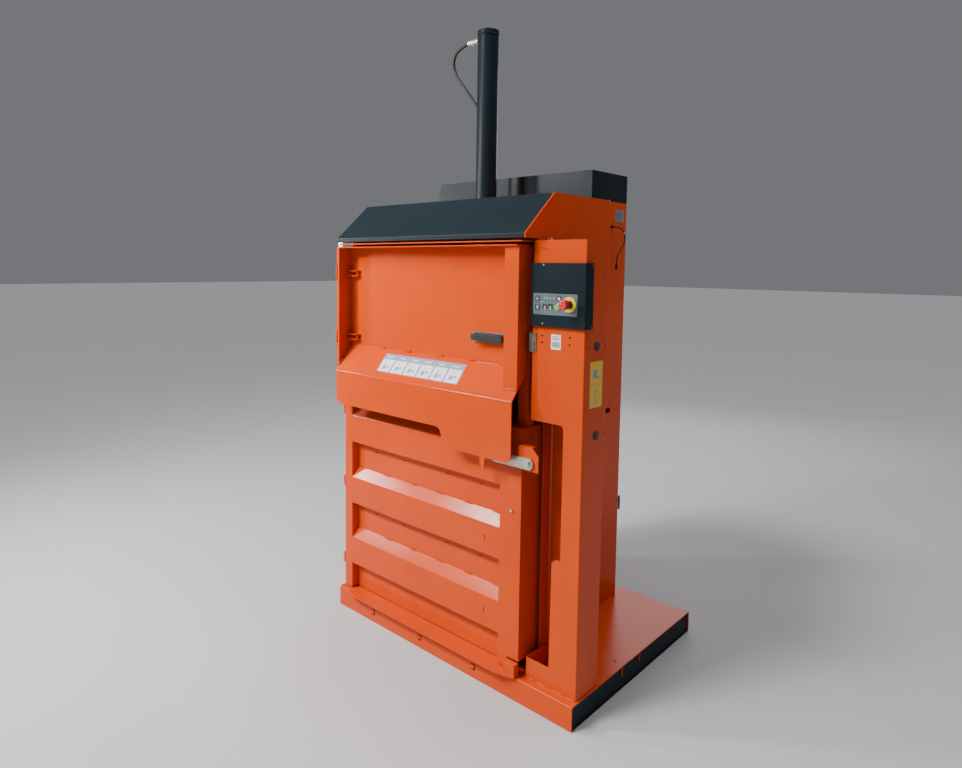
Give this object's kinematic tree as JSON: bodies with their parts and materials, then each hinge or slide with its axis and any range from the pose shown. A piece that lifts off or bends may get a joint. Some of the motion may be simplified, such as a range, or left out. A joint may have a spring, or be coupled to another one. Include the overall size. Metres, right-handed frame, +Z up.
{
  "type": "recycling baler",
  "caption": "Upright recycling baler with a hinged bale door, a hinged loading hatch, a hydraulic press cylinder and a control column",
  "frame": {"origin": "middle of the footprint's box at floor level", "axes": "+Z up; +X to the right of a person who faces the doors; +Y from the doors to the back"},
  "size_m": [1.47, 1.1, 2.98],
  "materials": {
    "orange_paint": "semi-gloss orange powder coat",
    "black_paint": "satin black powder coat",
    "zinc_steel": "bright zinc plating",
    "polished_rod": "ground chrome",
    "black_rubber": "matt hose rubber",
    "black_plastic": "matt moulded",
    "grey_plastic": "satin moulded",
    "brass_fitting": "turned",
    "red_plastic": "gloss moulded",
    "yellow_plastic": "gloss moulded",
    "green_plastic": "gloss moulded",
    "grey_enamel": "machine enamel"
  },
  "bodies": {
    "frame": {"base_bottom": "black_paint", "base_pan": "orange_paint", "base_webs": "orange_paint", "cable_glands": "brass_fitting", "chamber_back": "orange_paint", "chamber_floor": "orange_paint", "chamber_walls": "orange_paint", "column_back": "orange_paint", "column_bolts": "zinc_steel", "column_plugs": "black_plastic", "column_shell": "orange_paint", "control_cover": "black_paint", "control_keys": "black_plastic", "control_panel": "grey_plastic", "cover_brackets": "zinc_steel", "crossbeams": "orange_paint", "cylinder_barrel": "black_paint", "cylinder_gland": "black_paint", "door_hinge_leaves": "orange_paint", "electrics_box": "grey_plastic", "front_cover": "black_paint", "hatch_striker": "zinc_steel", "hose_fittings": "zinc_steel", "housing_back": "orange_paint", "housing_deck": "orange_paint", "hydraulic_hose": "black_rubber", "lead_plug": "black_plastic", "lintel": "orange_paint", "oil_tank": "grey_enamel", "portal_jambs": "orange_paint", "portal_sides": "orange_paint", "portal_top": "orange_paint", "power_pack": "grey_enamel", "rear_cover": "black_paint", "sill": "orange_paint", "start_bezel": "polished_rod", "stop_collar": "yellow_plastic", "wall_fittings": "black_plastic", "wall_lead": "black_rubber"},
    "press": {"piston_rod": "polished_rod", "piston": "polished_rod", "platen": "orange_paint", "platen_bars": "orange_paint"},
    "bale_door": {"door_panel": "orange_paint", "door_ribs": "orange_paint", "door_posts": "orange_paint", "door_side_plate": "orange_paint", "door_frame": "orange_paint", "door_knuckles": "orange_paint", "hinge_pins": "zinc_steel", "lock_bracket": "orange_paint", "door_fasteners": "zinc_steel"},
    "hatch": {"hatch_tray": "orange_paint", "hatch_post": "orange_paint", "hatch_lugs": "orange_paint", "handle_bezel": "grey_plastic", "handle_grip": "black_plastic"},
    "lock_bar": {"lock_bar": "zinc_steel"},
    "stop_button": {"stop_button": "red_plastic"},
    "start_button": {"start_button": "green_plastic"}
  },
  "joints": [
    {"name": "bale_door_hinge", "type": "hinge", "parent": "frame", "child": "bale_door", "pos_m": [-0.722, -0.478, 0.65], "axis": [0, 0, -1], "range_deg": [0, 100]},
    {"name": "hatch_hinge", "type": "hinge", "parent": "bale_door", "child": "hatch", "pos_m": [-0.727, -0.528, 1.6], "axis": [0, 0, -1], "range_deg": [0, 100]},
    {"name": "lock_bar_pivot", "type": "hinge", "parent": "bale_door", "child": "lock_bar", "pos_m": [0.509, -0.518, 1.031], "axis": [0, -1, 0], "range_deg": [0, 90]},
    {"name": "platen_slide", "type": "slide", "parent": "frame", "child": "press", "axis": [0, 0, -1], "range_m": [0, 0.76]},
    {"name": "stop_push", "type": "slide", "parent": "frame", "child": "stop_button", "axis": [0, 1, 0], "range_m": [0, 0.005]},
    {"name": "start_push", "type": "slide", "parent": "frame", "child": "start_button", "axis": [0, 1, 0], "range_m": [0, 0.003], "stiffness_N_per_m": 400}
  ]
}
